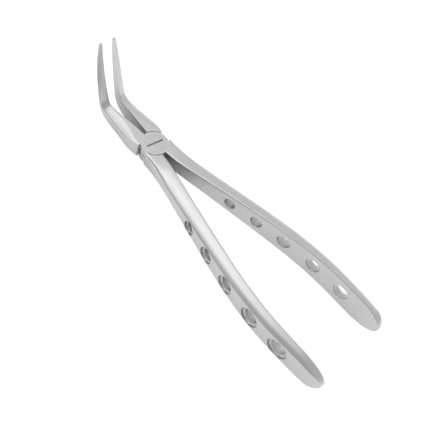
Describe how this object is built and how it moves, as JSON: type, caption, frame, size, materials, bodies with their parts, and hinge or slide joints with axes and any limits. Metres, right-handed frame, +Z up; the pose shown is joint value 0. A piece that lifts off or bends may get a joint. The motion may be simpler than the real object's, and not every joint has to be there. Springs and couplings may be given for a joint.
{
  "type": "dental extraction forceps",
  "caption": "Root-tip extraction forceps with slender upturned beaks, a flush screwed lap joint and long flat-faced handles pierced by graded grip holes.",
  "frame": {"origin": "on the pivot axis, in the plane of the joint's flat underside", "axes": "+Y towards the beak tips, +Z up along the pivot axis, towards the screw's slotted head and the side the beaks bend to, +X towards the upper lever's handle"},
  "size_m": [0.0466, 0.1677, 0.0431],
  "materials": {
    "lever_steel": "satin bead-blasted stainless steel, neutral grey",
    "screw_steel": "satin stainless steel, ground flush with the joint"
  },
  "bodies": {
    "lower_lever": {"lower_lever": "lever_steel", "pivot_screw": "screw_steel"},
    "upper_lever": {"upper_lever": "lever_steel"}
  },
  "joints": [
    {"name": "lever_hinge", "type": "hinge", "parent": "lower_lever", "child": "upper_lever", "pos_m": [0, 0, 0], "axis": [0, 0, 1], "range_deg": [-8.2, 20]}
  ]
}
